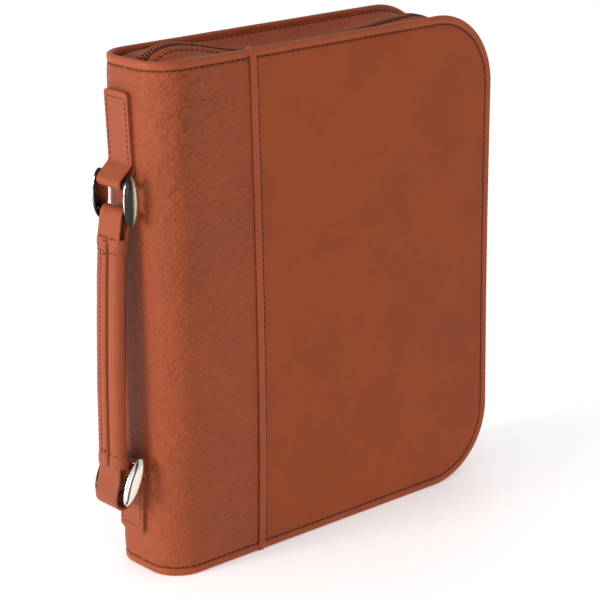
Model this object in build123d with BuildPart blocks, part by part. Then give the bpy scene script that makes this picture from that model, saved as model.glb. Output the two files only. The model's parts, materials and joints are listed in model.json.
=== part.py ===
from build123d import *
import math
import os

# A zip-round Bible cover with a Bible inside it, standing upright on its bottom edge.
# Millimetres. +Z is up, the spine stands at -X, the front cover faces -Y.
# The origin is the centre of the bottom of the whole object's box.

# Case
height = 270.0
width = 232.0
thickness = 52.0
fore_radius = 42.0          # rounded corners at the opening side
spine_radius = 18.0         # upright edges where a cover bends into the spine
leather = 1.2
board = 2.0
lining = 0.8
skin = leather + board + lining
binding_width = 5.0
seam_x = 60.0               # front seam, measured from the spine
strip_width = 4.6
strip_height = 0.8
hinge_inset = 0.215 * spine_radius   # keeps the bend's length when a cover lies open
hinge_gap = 0.5             # degrees, between the halves of a bend

# Zip
gusset_edge = 7.0           # from the middle of the zip to the edge of the leather gusset
gusset_thick = 1.4
tape_thick = 0.7
tape_overlap = 2.0
coil_width = 2.3
coil_gap = 0.3
tail_radius = 18.0
tail_angle = 70.0
tail_x = 28.0               # where the zip starts to dip, measured from the spine

# Handle hardware, measured outward from the spine and up from the bottom
handle_width = 19.0
bar_radius = 2.0
bar_spacing = 15.5
cheek_length = 27.0
cheek_width = 9.4
cheek_thick = 3.0
cheek_y = 12.0
upper_bar_out = 8.0
upper_bar_z = 209.5
lower_link_out = 12.5
lower_link_z = 55.2
lower_link_tilt = 25.0
tab_thick = 2.5
strap_wrap = 1.5
running = 0.1               # radial clearance of a strap round its bar
open_pivot = 1.7            # extra clearance in the handle's lower loop

# Bible
bible_bottom = 20.0
bible_top = 250.0
bible_width = 188.0
page_margin = 3.0
page_half = 18.5
centre_half = 3.0
packet_gap = 0.1
bible_gap = 0.2
bible_spine_out = 6.5       # crown of the Bible's spine, measured inward from the case's spine
bible_spine_half = 20.5
bible_spine_rise = 8.0

# Places that follow from the sizes above
tilt = math.radians(lower_link_tilt)
loop_radius = bar_radius + running + open_pivot + strap_wrap
overhang = lower_link_out + bar_spacing / 2 * math.sin(tilt) + loop_radius
spine_x = (overhang - width) / 2
fore_x = spine_x + width
front_y = -thickness / 2
bend_x = spine_x + spine_radius
bend_y = front_y + spine_radius
inner_y = front_y + skin
page_x = spine_x + 16.0
page_end = page_x + bible_width

upper_bar = (spine_x - upper_bar_out, upper_bar_z)
upper_grip_bar = (upper_bar[0], upper_bar_z - bar_spacing)
link_step = (math.sin(tilt) * bar_spacing / 2, math.cos(tilt) * bar_spacing / 2)
lower_centre = (spine_x - lower_link_out, lower_link_z)
lower_bar = (lower_centre[0] + link_step[0], lower_centre[1] + link_step[1])
lower_grip_bar = (lower_centre[0] - link_step[0], lower_centre[1] - link_step[1])

os.makedirs("parts", exist_ok=True)


def save(piece, label):
    """Label one finished piece and write its STEP file."""
    piece.part.label = label
    export_step(piece.part, f"parts/{label}.step")


def save_pair(front, name):
    """Write a front cover piece and its mirror image for the back cover."""
    with BuildPart() as back:
        mirror(front.part, about=Plane.XZ)
    save(front, f"front_{name}")
    save(back, f"back_{name}")


def bend_profile(near, far, end_x):
    """Front cover between two depths under its face, from half-way round the bend to end_x."""
    centre = (bend_x, bend_y)
    with BuildSketch() as profile:
        with BuildLine():
            outer = CenterArc(centre, spine_radius - near, 225 + hinge_gap, 45 - hinge_gap)
            inner = CenterArc(centre, spine_radius - far, 225 + hinge_gap, 45 - hinge_gap)
            Polyline(outer @ 1, (end_x, front_y + near), (end_x, front_y + far), inner @ 1)
            Line(outer @ 0, inner @ 0)
        make_face()
    return profile.sketch


def spine_profile(near, far):
    """Spine between two depths under its face, to half-way round both bends."""
    sweep_angle = 45 - hinge_gap
    with BuildSketch() as profile:
        with BuildLine():
            front_out = CenterArc((bend_x, bend_y), spine_radius - near, 180, sweep_angle)
            front_in = CenterArc((bend_x, bend_y), spine_radius - far, 180, sweep_angle)
            back_out = CenterArc((bend_x, -bend_y), spine_radius - near, 180, -sweep_angle)
            back_in = CenterArc((bend_x, -bend_y), spine_radius - far, 180, -sweep_angle)
            Line(front_out @ 0, back_out @ 0)
            Line(front_in @ 0, back_in @ 0)
            Line(front_out @ 1, front_in @ 1)
            Line(back_out @ 1, back_in @ 1)
        make_face()
    return profile.sketch


def cover_outline(inset):
    """Side view of a cover, drawn inside its edge by the inset, with rounded fore corners."""
    radius = fore_radius - inset
    right = fore_x - inset
    left = spine_x - strip_width
    with BuildSketch() as profile:
        with BuildLine():
            top = RadiusArc((right - radius, height - inset),
                            (right, height - inset - radius), radius)
            foot = RadiusArc((right, inset + radius), (right - radius, inset), radius)
            Line(top @ 1, foot @ 0)
            Polyline(foot @ 1, (left, inset), (left, height - inset), top @ 0)
        make_face()
    return profile.sketch


def zip_profile(inset, thick):
    """Band of the zip round three sides of the case, dipping into the well at both ends."""
    inset = inset + thick / 2
    radius = fore_radius - inset
    tail = tail_radius + binding_width - inset
    start_x = spine_x + tail_x
    right = fore_x - inset
    with BuildSketch() as profile:
        with BuildLine():
            top_tail = CenterArc((start_x, height - inset - tail), tail, 90, tail_angle)
            top = RadiusArc((right - radius, height - inset),
                            (right, height - inset - radius), radius)
            foot = RadiusArc((right, inset + radius), (right - radius, inset), radius)
            foot_tail = CenterArc((start_x, inset + tail), tail, -90, -tail_angle)
            Line(top_tail @ 0, top @ 0)
            Line(top @ 1, foot @ 0)
            Line(foot @ 1, foot_tail @ 0)
        trace(line_width=thick)
    return profile.sketch


def zip_band(inset, thick, near_y, far_y):
    """Band along the zip, between two distances in front of its middle."""
    with BuildPart() as band:
        with BuildSketch(Plane.XZ.offset(near_y)):
            add(zip_profile(inset, thick))
        extrude(amount=far_y - near_y)
        with BuildSketch():
            Rectangle(2 * width, 2 * -bend_y)
            with Locations((bend_x + width, 0)):
                Rectangle(2 * width, 2 * -inner_y)
            with Locations((bend_x, bend_y), (bend_x, -bend_y)):
                Circle(spine_radius - skin)
        extrude(amount=height, mode=Mode.INTERSECT)
    return band


def teardrop(tip, tip_radius, bar, hole_radius):
    """Strap folded round a bar: tapers from the bar to its sewn tip."""
    with BuildSketch() as profile:
        with Locations(tip):
            Circle(tip_radius)
        with Locations(bar):
            Circle(hole_radius + strap_wrap)
        make_hull()
        with Locations(bar):
            Circle(hole_radius, mode=Mode.SUBTRACT)
    return profile.sketch


def oval_link(centre, angle):
    """Metal link: two domed oval cheeks joined by two cross bars."""
    side = Plane.XZ.offset(cheek_y)
    with BuildPart() as link:
        with BuildSketch(side):
            with Locations(Location((centre[0], centre[1]), 90 - angle)):
                SlotOverall(cheek_length, cheek_width)
        extrude(amount=cheek_thick)
        outer_edges = link.faces().sort_by(Axis.Y)[0].edges()
        fillet(outer_edges, radius=cheek_thick * 0.6)
        mirror(about=Plane.XZ)
        with BuildSketch(Plane.XZ):
            with Locations(Location((centre[0], centre[1]), 90 - angle)):
                with GridLocations(bar_spacing, 0, 2, 1):
                    Circle(bar_radius)
        extrude(amount=cheek_y + cheek_thick / 3, both=True)
    return link


# Spine of the case

with BuildPart() as spine_wrap:
    with BuildSketch(Plane.XY.offset(binding_width)):
        add(spine_profile(0, leather))
    extrude(amount=height - 2 * binding_width)
save(spine_wrap, "spine_wrap")

with BuildPart() as spine_stiffener:
    with Locations((spine_x + leather + board / 2, 0, height / 2)):
        Box(board, 2 * -bend_y, height - 2 * binding_width)
save(spine_stiffener, "spine_stiffener")

with BuildPart() as spine_lining:
    with BuildSketch(Plane.XY.offset(binding_width)):
        add(spine_profile(leather + board, skin))
    extrude(amount=height - 2 * binding_width)
save(spine_lining, "spine_lining")

with BuildPart() as spine_top_binding:
    with BuildSketch(Plane.XY.offset(height - binding_width)):
        add(spine_profile(0, skin))
    extrude(amount=binding_width)
save(spine_top_binding, "spine_top_binding")

with BuildPart() as spine_foot_binding:
    with BuildSketch():
        add(spine_profile(0, skin))
    extrude(amount=binding_width)
save(spine_foot_binding, "spine_foot_binding")


# Cover layers, drawn for the front cover and mirrored for the back

def cover_layer(near, far, inset):
    """Layer of the front cover between two depths, bend included."""
    with BuildPart() as layer:
        with BuildSketch():
            add(bend_profile(near, far, fore_x))
        extrude(amount=height)
        with BuildSketch(Plane.XZ):
            add(cover_outline(inset))
        extrude(amount=thickness, mode=Mode.INTERSECT)
    return layer


seam = spine_x + seam_x
face_middle = (seam, front_y, height / 2)

with BuildPart() as front_wrap:
    add(cover_layer(0, leather, binding_width).part)
    split(bisect_by=Plane(face_middle, z_dir=(-1, 0, 0)), keep=Keep.TOP)
save_pair(front_wrap, "wrap")

with BuildPart() as front_panel:
    add(cover_layer(0, leather, binding_width).part)
    split(bisect_by=Plane(face_middle, z_dir=(1, 0, 0)), keep=Keep.TOP)
save_pair(front_panel, "panel")

save_pair(cover_layer(leather + board, skin, binding_width), "lining")

with BuildPart() as front_binding:
    add(cover_layer(0, skin, 0).part)
    with BuildSketch(Plane.XZ):
        add(cover_outline(binding_width))
    extrude(amount=thickness, mode=Mode.SUBTRACT)
save_pair(front_binding, "binding")

with BuildPart() as front_seam_strip:
    with Locations((seam, front_y - strip_height / 2, height / 2)):
        Box(strip_width, strip_height, height)
    fillet(front_seam_strip.faces().sort_by(Axis.Y)[0].edges().filter_by(Axis.Z), radius=0.6)
save_pair(front_seam_strip, "seam_strip")

with BuildPart() as front_board:
    with BuildSketch(Plane.XZ.offset(-front_y - leather)):
        add(cover_outline(binding_width))
        with Locations((bend_x - width / 2, height / 2)):
            Rectangle(width, height, mode=Mode.SUBTRACT)
    extrude(amount=-board)
save_pair(front_board, "board")

# Pocket sewn to the lining on three sides: the Bible's board slides into it.
pocket_inset = 9.0
pocket_start = spine_x + 92.0
pocket_depth = 3.2
pocket_leather = 0.8
with BuildPart() as front_pocket:
    with BuildSketch(Plane.XZ.offset(-inner_y)):
        add(cover_outline(pocket_inset))
    extrude(amount=-pocket_depth)
    with BuildSketch(Plane.XZ.offset(-inner_y)):
        add(cover_outline(pocket_inset + pocket_leather))
    extrude(amount=-(pocket_depth - pocket_leather), mode=Mode.SUBTRACT)
    split(bisect_by=Plane((pocket_start, 0, 0), z_dir=(1, 0, 0)), keep=Keep.TOP)
save_pair(front_pocket, "pocket")

# Zip round the case: leather gusset, tape and coil on each cover
save_pair(zip_band(binding_width, gusset_thick, gusset_edge, -inner_y), "gusset")
tape_inset = binding_width + gusset_thick
tape_edge = coil_gap + coil_width
save_pair(zip_band(tape_inset, tape_thick, tape_edge, gusset_edge + tape_overlap), "zip_tape")
coil_inset = tape_inset + tape_thick / 2 - coil_width / 2
save_pair(zip_band(coil_inset, coil_width, coil_gap, tape_edge), "zip_coil")

# Slider on the bottom run, parked at the spine end where the zip is closed
slider_x = spine_x + tail_x + 9.0
slider_length = 12.0
slider_width = 9.0
plate = 1.0
slider_clear = 0.2
web = 0.3
pin_radius = 0.6
pull_length = 24.0
pull_width = 5.0
pull_thick = 1.2
lug_gap = 3.0
chain_low = coil_inset
chain_high = coil_inset + coil_width
outer_plate_z = chain_low - slider_clear - plate
inner_plate_z = chain_high + slider_clear
pin_z = outer_plate_z - 1.6
with BuildPart() as zip_slider:
    for level in (outer_plate_z, inner_plate_z):
        with BuildSketch(Plane.XY.offset(level)):
            with Locations((slider_x, 0)):
                RectangleRounded(slider_length, slider_width, 2.4)
        extrude(amount=plate)
    with Locations((slider_x - slider_length / 4, 0, (outer_plate_z + inner_plate_z + plate) / 2)):
        Box(slider_length / 3, web, inner_plate_z - outer_plate_z)
    with BuildSketch(Plane.XZ.offset(-lug_gap / 2 - 1.0)):
        with Locations((slider_x, pin_z)):
            Circle(1.1)
        with Locations((slider_x, (pin_z + outer_plate_z) / 2)):
            Rectangle(2.2, outer_plate_z - pin_z)
    extrude(amount=1.0)
    with BuildSketch(Plane.XZ.offset(lug_gap / 2)):
        with Locations((slider_x, pin_z)):
            Circle(1.1)
        with Locations((slider_x, (pin_z + outer_plate_z) / 2)):
            Rectangle(2.2, outer_plate_z - pin_z)
    extrude(amount=1.0)
    with BuildSketch(Plane.XZ):
        with Locations((slider_x, pin_z)):
            Circle(pin_radius)
    extrude(amount=lug_gap / 2, both=True)
save(zip_slider, "zip_slider")

with BuildPart() as zip_pull:
    with BuildSketch(Plane.XZ):
        with Locations((slider_x, pin_z)):
            Circle(pin_radius + 0.7)
    extrude(amount=lug_gap / 2 - 0.2, both=True)
    with BuildSketch(Plane.XY.offset(pin_z - pull_thick / 2)):
        with Locations((slider_x + pull_length / 2 + 1.4, 0)):
            RectangleRounded(pull_length, pull_width, 2.0)
        with Locations((slider_x + 1.2, 0)):
            Rectangle(2.4, lug_gap - 0.4)
    extrude(amount=pull_thick)
    with BuildSketch(Plane.XZ):
        with Locations((slider_x, pin_z)):
            Circle(pin_radius + 0.1)
    extrude(amount=pull_width, both=True, mode=Mode.SUBTRACT)
save(zip_pull, "zip_pull")

# Straps sewn to the spine, folded round the anchor bars of the links

tab_line = spine_x - tab_thick / 2
upper_tab = (217.0, 252.0)
lower_tab = (21.0, 53.0)
for label, span, bar, tip_z in (("upper_anchor_tab", upper_tab, upper_bar, upper_tab[0]),
                                ("lower_anchor_tab", lower_tab, lower_bar, lower_tab[1])):
    with BuildPart() as anchor_tab:
        with BuildSketch(Plane.XZ):
            add(teardrop((tab_line, tip_z), tab_thick / 2, bar, bar_radius + running))
        extrude(amount=handle_width / 2, both=True)
        with Locations((tab_line, 0, sum(span) / 2)):
            Box(tab_thick, handle_width, span[1] - span[0])
    save(anchor_tab, label)

upper_centre = (upper_bar[0], upper_bar_z - bar_spacing / 2)
save(oval_link(upper_centre, 0), "upper_link")
save(oval_link(lower_centre, lower_link_tilt), "lower_link")

# Handle: one strap with a loop at each end, a padded grip and two collars

grip_width = 17.0
grip_thick = 6.0
grip_wall = 1.1
grip_round = 2.6
core_round = 1.5
strap_thick = 2.0
strap_width = 13.0
collar_length = 7.5
collar_wall = 0.9
collar_inset = 1.0
drop = math.dist(upper_grip_bar, lower_grip_bar)
along = Vector(lower_grip_bar[0] - upper_grip_bar[0], 0, lower_grip_bar[1] - upper_grip_bar[1])
along = along.normalized()
top_point = Vector(upper_grip_bar[0], 0, upper_grip_bar[1])
grip_start = 13.0           # from the upper bar
grip_end = drop - 19.0      # clear of the lower anchor loop
grip_length = grip_end - grip_start


def handle_plane(distance):
    """Plane square to the handle, at a distance down it from its upper bar."""
    return Plane(origin=top_point + along * distance, x_dir=(0, 1, 0), z_dir=along)


def on_handle(distance):
    """Point on the handle's line, in the side view."""
    point = top_point + along * distance
    return (point.X, point.Z)


with BuildPart() as handle_strap:
    with BuildSketch(Plane.XZ):
        add(teardrop(on_handle(grip_start - strap_thick), strap_thick / 2, upper_grip_bar,
                     bar_radius + running))
    extrude(amount=handle_width / 2, both=True)
    with BuildSketch(Plane.XZ):
        add(teardrop(on_handle(grip_end + strap_thick), strap_thick / 2, lower_grip_bar,
                     loop_radius - strap_wrap))
    extrude(amount=handle_width / 2, both=True)
    with BuildSketch(handle_plane(grip_start - strap_thick)):
        Rectangle(strap_width, strap_thick)
    extrude(amount=grip_length + 2 * strap_thick)
save(handle_strap, "handle_strap")

hollow_width = grip_width - 2 * grip_wall
hollow_thick = grip_thick - 2 * grip_wall
with BuildPart() as grip_cover:
    with BuildSketch(handle_plane(grip_start)):
        RectangleRounded(grip_width, grip_thick, grip_round)
        RectangleRounded(hollow_width, hollow_thick, core_round, mode=Mode.SUBTRACT)
    extrude(amount=grip_length)
save(grip_cover, "grip_cover")

with BuildPart() as grip_core:
    with BuildSketch(handle_plane(grip_start)):
        RectangleRounded(hollow_width, hollow_thick, core_round)
        Rectangle(strap_width, strap_thick, mode=Mode.SUBTRACT)
    extrude(amount=grip_length)
save(grip_core, "grip_core")

with BuildPart() as grip_collars:
    for start in (grip_start + collar_inset, grip_end - collar_length - collar_inset):
        with BuildSketch(handle_plane(start)):
            RectangleRounded(grip_width + 2 * collar_wall, grip_thick + 2 * collar_wall,
                             grip_round + collar_wall)
            RectangleRounded(grip_width, grip_thick, grip_round, mode=Mode.SUBTRACT)
        extrude(amount=collar_length)
save(grip_collars, "grip_collars")

# Bible

bible_height = bible_top - bible_bottom
crown_x = spine_x + bible_spine_out
crown_radius = (bible_spine_half ** 2 + bible_spine_rise ** 2) / (2 * bible_spine_rise)
crown_centre = crown_x + crown_radius
bible_leather = 1.5
page_top = bible_top - page_margin
page_bottom = bible_bottom + page_margin
page_height = page_top - page_bottom

with BuildPart() as bible_spine:
    with BuildSketch(Plane.XY.offset(bible_bottom)):
        with Locations((crown_centre, 0)):
            Circle(crown_radius)
            Circle(crown_radius - bible_leather, mode=Mode.SUBTRACT)
        with Locations((crown_x + bible_spine_rise / 2, 0)):
            Rectangle(bible_spine_rise, 2 * crown_radius, mode=Mode.INTERSECT)
    extrude(amount=bible_height)
save(bible_spine, "bible_spine")

with BuildPart() as text_block_back:
    with BuildSketch(Plane.XY.offset(page_bottom)):
        with Locations((crown_centre, 0)):
            Circle(crown_radius - bible_leather - packet_gap)
        with Locations((page_x - packet_gap - bible_spine_rise, 0)):
            Rectangle(2 * bible_spine_rise, 2 * page_half, mode=Mode.INTERSECT)
    extrude(amount=page_height)
save(text_block_back, "text_block_back")

band_size = 2.4
for label, low in (("headband", page_top), ("tailband", page_bottom - band_size)):
    with BuildPart() as band:
        with BuildSketch(Plane.YZ.offset(page_x - band_size)):
            with Locations((0, low + band_size / 2)):
                RectangleRounded(2 * page_half - 4, band_size, 1.0)
        extrude(amount=band_size - packet_gap)
    save(band, label)

ribbon_x = page_x + 40.0
ribbon_width = 5.5
ribbon_thick = 0.4
with BuildPart() as page_block:
    with BuildSketch(Plane.XY.offset(page_bottom)):
        with Locations((page_x + bible_width / 2 - page_margin, 0)):
            Rectangle(bible_width - 2 * page_margin, 2 * centre_half)
        with Locations((ribbon_x, 0)):
            Rectangle(ribbon_width + 0.4, ribbon_thick + 0.2, mode=Mode.SUBTRACT)
    extrude(amount=page_height)
save(page_block, "page_block")

with BuildPart() as ribbon_bookmark:
    with BuildSketch(Plane.XY.offset(page_bottom - 11.0)):
        with Locations((ribbon_x, 0)):
            Rectangle(ribbon_width, ribbon_thick)
    extrude(amount=page_height + 11.0)
save(ribbon_bookmark, "ribbon_bookmark")

with BuildPart() as bible_board:
    with BuildSketch(Plane.XZ.offset(-inner_y - bible_gap)):
        with Locations((page_x + 1.0 + bible_width / 2, (bible_top + bible_bottom) / 2)):
            RectangleRounded(bible_width, bible_height, 6.0)
    extrude(amount=-2.0)
save_pair(bible_board, "bible_board")

# Pages between the boards and the middle: three packets a side, each cut back at its
# folded corner so that they can fan open
packet_pitch = (page_half - centre_half) / 3
packet_thick = packet_pitch - packet_gap
fan_run = 10.0
fan_depth = 3.0
for order, letter in enumerate("abc"):
    outer_y = -page_half + order * packet_pitch
    inner_face = outer_y + packet_thick
    with BuildPart() as packet:
        with BuildSketch(Plane.XY.offset(page_bottom)):
            with BuildLine():
                Polyline((page_x, outer_y), (page_end - 2 * page_margin, outer_y),
                         (page_end - 2 * page_margin, inner_face),
                         (page_x + fan_run, inner_face),
                         (page_x, inner_face - fan_depth), close=True)
            make_face()
        extrude(amount=page_height)
    save_pair(packet, f"pages_{letter}")
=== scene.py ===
import json
import math

import bmesh
import bpy
import numpy as np
from mathutils import Matrix, Vector, noise


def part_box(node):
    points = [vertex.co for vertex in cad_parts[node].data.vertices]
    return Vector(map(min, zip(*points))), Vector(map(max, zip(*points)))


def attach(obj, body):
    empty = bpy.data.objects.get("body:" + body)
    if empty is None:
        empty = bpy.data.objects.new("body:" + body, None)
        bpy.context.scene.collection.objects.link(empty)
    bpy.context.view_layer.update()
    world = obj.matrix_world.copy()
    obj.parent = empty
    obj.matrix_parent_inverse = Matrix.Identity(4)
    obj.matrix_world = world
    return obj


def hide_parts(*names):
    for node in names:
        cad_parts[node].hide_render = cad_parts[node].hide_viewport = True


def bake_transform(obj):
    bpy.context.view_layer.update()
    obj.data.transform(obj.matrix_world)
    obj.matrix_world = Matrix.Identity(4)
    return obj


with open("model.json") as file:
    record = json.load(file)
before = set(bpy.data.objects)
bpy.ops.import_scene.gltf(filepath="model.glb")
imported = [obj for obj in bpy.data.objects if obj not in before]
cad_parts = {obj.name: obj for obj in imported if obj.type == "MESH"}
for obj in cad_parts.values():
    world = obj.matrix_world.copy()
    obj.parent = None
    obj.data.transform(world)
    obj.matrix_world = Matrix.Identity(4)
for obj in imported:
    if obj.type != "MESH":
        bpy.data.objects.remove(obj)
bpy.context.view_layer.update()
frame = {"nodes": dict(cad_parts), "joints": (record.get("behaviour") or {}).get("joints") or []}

MM = 0.001


# ---------------------------------------------------------------- sizes, in mm

def low(node):
    return np.array(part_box(node)[0]) / MM


def high(node):
    return np.array(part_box(node)[1]) / MM


def joint_place(name):
    """Where a joint's axis passes, in mm."""
    for joint in frame["joints"]:
        if joint["name"] == name:
            return np.array(joint["pos_m"]) / MM
    raise KeyError(name)


SPINE_X = low("spine_wrap")[0]
FORE_X = high("front_binding")[0]
FACE_Y = -low("front_panel")[1]
HEIGHT = high("front_binding")[2]
EDGE = low("front_panel")[2]
BEND = FACE_Y - high("spine_stiffener")[1]
ARC = math.pi / 2 * BEND    # length of the bend, round its curve
CORNER = 42.0        # radius of a cover's fore corners
BEAD = EDGE - 0.9    # height of the soft rolled edge
INNER_Y = -low("front_gusset")[1]
SEAM_X = (low("front_seam_strip")[0] + high("front_seam_strip")[0]) / 2
STRIP = high("front_seam_strip")[0] - low("front_seam_strip")[0]
BEND_X = SPINE_X + BEND
FLAT_Y = FACE_Y - BEND
HALF_WIDTH = 116.0   # half the case's width, which the camera is centred on
STITCH_PITCH = 3.3
PAD = 2.6            # how far the padded face stands out from a cover
BAR_SPACING = 15.5   # between the two bars of a link
BAR_RADIUS = 2.0


# ---------------------------------------------------------------- mesh helpers

def smoothstep(a, b, x):
    t = np.clip((np.asarray(x, float) - a) / (b - a), 0, 1)
    return t * t * (3 - 2 * t)


def piece(name, verts, faces, material, side="front", smooth=True):
    """Mesh object from points in mm; the back cover's pieces are mirrored front ones."""
    verts = np.array(verts, float) * MM
    if side == "back":
        verts[:, 1] *= -1
        faces = [tuple(reversed(f)) for f in faces]
    mesh = bpy.data.meshes.new(name)
    mesh.from_pydata(verts.tolist(), [], [tuple(int(i) for i in f) for f in faces])
    mesh.validate()
    if smooth:
        mesh.shade_smooth()
    mesh.materials.append(material)
    obj = bpy.data.objects.new(name, mesh)
    bpy.context.scene.collection.objects.link(obj)
    return obj


def grid_faces(rows, cols, wrap=False):
    """Quads over a rows by cols lattice of points; wrap joins the last column to the first."""
    return [(i * cols + j, i * cols + (j + 1) % cols,
             (i + 1) * cols + (j + 1) % cols, (i + 1) * cols + j)
            for i in range(rows - 1) for j in range(cols if wrap else cols - 1)]


def tube(path, across, out, section):
    """Sweep a closed section (u along across, v along out) down a path of points."""
    path, section = np.asarray(path, float), np.asarray(section, float)
    across, out = np.broadcast_to(across, path.shape), np.broadcast_to(out, path.shape)
    if section.ndim == 2:
        section = np.repeat(section[None], len(path), axis=0)
    verts = path[:, None] + section[..., :1] * across[:, None] + section[..., 1:] * out[:, None]
    rows, cols = verts.shape[:2]
    faces = grid_faces(rows, cols, wrap=True)
    verts = verts.reshape(-1, 3)
    base, end = rows * cols, (rows - 1) * cols
    faces += [(base, (j + 1) % cols, j) for j in range(cols)]
    faces += [(base + 1, end + j, end + (j + 1) % cols) for j in range(cols)]
    return np.vstack([verts, verts[:cols].mean(0), verts[-cols:].mean(0)]), faces


def solid(*args, **kwargs):
    """Closed mesh object with every face turned outward; takes what piece takes."""
    obj = piece(*args, **kwargs)
    bm = bmesh.new()
    bm.from_mesh(obj.data)
    bmesh.ops.recalc_face_normals(bm, faces=bm.faces)
    bm.to_mesh(obj.data)
    bm.free()
    return obj


def thicken(obj, depth):
    """Give a sheet its thickness, inward if positive, and leave it as plain mesh."""
    layer = obj.modifiers.new("thickness", "SOLIDIFY")
    layer.thickness = depth * MM
    layer.offset = -1
    bpy.context.view_layer.update()
    graph = bpy.context.evaluated_depsgraph_get()
    mesh = bpy.data.meshes.new_from_object(obj.evaluated_get(graph), depsgraph=graph)
    obj.modifiers.clear()
    old = obj.data
    obj.data = mesh
    mesh.name = old.name
    return obj


def sheet(name, lattice, material, side, depth):
    """Thickened sheet over a lattice of points."""
    lattice = np.asarray(lattice, float)
    faces = grid_faces(*lattice.shape[:2])
    return thicken(piece(name, lattice.reshape(-1, 3), faces, material, side), depth)


def rounded(width, depth, radius, steps, longest=2.0):
    """Closed rounded rectangle, centred, with extra points along its flats."""
    points = []
    for sx, sy, start in ((1, 1, 0), (-1, 1, 90), (-1, -1, 180), (1, -1, 270)):
        for k in range(steps + 1):
            a = math.radians(start + 90 * k / steps)
            points.append((sx * (width / 2 - radius) + radius * math.cos(a),
                           sy * (depth / 2 - radius) + radius * math.sin(a)))
    filled = []
    for a, b in zip(points, points[1:] + points[:1]):
        a, b = np.array(a), np.array(b)
        parts = max(1, math.ceil(np.linalg.norm(b - a) / longest))
        filled += [a + (b - a) * k / parts for k in range(parts)]
    return np.array(filled)


def lengths(points):
    """Distance run from the start at each point of a line."""
    step = np.linalg.norm(np.diff(points, axis=0), axis=1)
    return np.concatenate([[0], np.cumsum(step)])


def sample(at, run, points):
    """Values of an array of points at distances along its line."""
    return np.stack([np.interp(at, run, points[:, k]) for k in range(points.shape[1])], -1)


def resample(points, pitch, *others):
    """Even spacing along a polyline; the other arrays are carried along."""
    points = np.asarray(points, float)
    run = lengths(points)
    at = np.linspace(0, run[-1], max(2, int(round(run[-1] / pitch)) + 1))
    out = [sample(at, run, np.asarray(p, float)) for p in (points, *others)]
    return out if others else out[0]


def tangents(points):
    t = np.gradient(points, axis=0)
    return t / np.linalg.norm(t, axis=1)[:, None]


def unit(v):
    return v / np.linalg.norm(v, axis=-1, keepdims=True)


def stitch_mesh(points, normals, pitch=STITCH_PITCH, length=2.95, radius=0.25, lift=0.08):
    """Sewn thread: short rounded stitches that dip into the leather at both ends."""
    normals = np.broadcast_to(normals, np.shape(points))
    points, normals = resample(points, 0.5, points, normals)[1:]
    run = lengths(points)
    count = max(1, int((run[-1] - length) / pitch) + 1)
    margin = (run[-1] - (count - 1) * pitch - length) / 2
    share, size, rise = np.array([(0.0, 0.5, -1.2), (0.14, 0.9, -0.15), (0.5, 1.0, 0.25),
                                  (0.86, 0.9, -0.15), (1.0, 0.5, -1.2)]).T
    at = margin + pitch * np.arange(count)[:, None] + share * length
    out = unit(sample(at, run, normals))
    ahead = unit(sample(at + 0.3, run, points) - sample(at - 0.3, run, points))
    middle = sample(at, run, points) + out * (lift + radius * rise)[:, None]
    side = np.cross(ahead, out)
    turn = 2 * math.pi * np.arange(6)[:, None] / 6
    verts = middle[:, :, None] + (radius * size)[:, None, None] * (
        np.cos(turn) * side[:, :, None] + np.sin(turn) * out[:, :, None])
    one = grid_faces(5, 6, wrap=True) + [(5, 4, 3, 2, 1, 0), tuple(range(24, 30))]
    faces = [tuple(30 * k + i for i in face) for k in range(count) for face in one]
    return verts.reshape(-1, 3), faces


def merge(parts):
    """Join (verts, faces) pairs into one."""
    verts, faces, base = [], [], 0
    for part_verts, part_faces in parts:
        verts.append(np.asarray(part_verts, float))
        faces += [tuple(i + base for i in face) for face in part_faces]
        base += len(part_verts)
    return np.vstack(verts), faces


def swap(obj, slot, *nodes):
    """Show a piece instead of its CAD nodes; slot is not used."""
    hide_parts(*nodes)
    return obj


def mount(obj, body, slot, *nodes):
    """Swap a piece in and let it ride on a body."""
    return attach(swap(obj, slot, *nodes), body)


def sew(name, rows, body, side="front"):
    """Rows of stitches as one piece of thread that rides on a body."""
    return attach(piece(name, *merge(rows), thread, side), body)


def wobble(amount, *place):
    """Smooth noise, at most the amount either way."""
    return amount * noise.noise(Vector(place))


def fbm(x, y, z):
    return noise.fractal(Vector((x, y, z)), 1.0, 2.0, 3)


# ---------------------------------------------------------------- materials

def node_material(name):
    material = bpy.data.materials.new(name)
    material.use_nodes = True
    tree = material.node_tree
    coords = tree.nodes.new("ShaderNodeTexCoord").outputs["Object"]
    return material, tree, tree.nodes["Principled BSDF"], coords


def set_inputs(tree, node, inputs):
    """Fill a node's inputs: a socket is linked, a plain value is stored."""
    for key, value in inputs.items():
        socket = node.inputs[key]
        if isinstance(value, bpy.types.NodeSocket):
            tree.links.new(value, socket)
        else:
            socket.default_value = (*value, 1.0) if socket.type == "RGBA" else value


def add_node(tree, kind, inputs, **settings):
    node = tree.nodes.new(f"ShaderNode{kind}")
    for name, value in settings.items():
        setattr(node, name, value)
    set_inputs(tree, node, inputs)
    return node


def grey(level):
    return (level, level, level)


def add_noise(tree, coords, scale, detail=4.0, rough=0.55, stretch=None):
    if stretch is not None:
        coords = add_node(tree, "Mapping", {"Vector": coords, "Scale": stretch}).outputs[0]
    return add_node(tree, "TexNoise", {"Vector": coords, "Scale": scale, "Detail": detail,
                                       "Roughness": rough}).outputs["Fac"]


def add_cells(tree, coords, scale):
    return add_node(tree, "TexVoronoi", {"Vector": coords, "Scale": scale},
                    feature="SMOOTH_F1").outputs["Distance"]


def ramp(tree, value, stops):
    node = add_node(tree, "ValToRGB", {"Fac": value})
    while len(node.color_ramp.elements) < len(stops):
        node.color_ramp.elements.new(0.5)
    for element, (place, colour) in zip(node.color_ramp.elements, stops):
        element.position = place
        element.color = (*colour, 1.0)
    return node.outputs["Color"]


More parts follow.
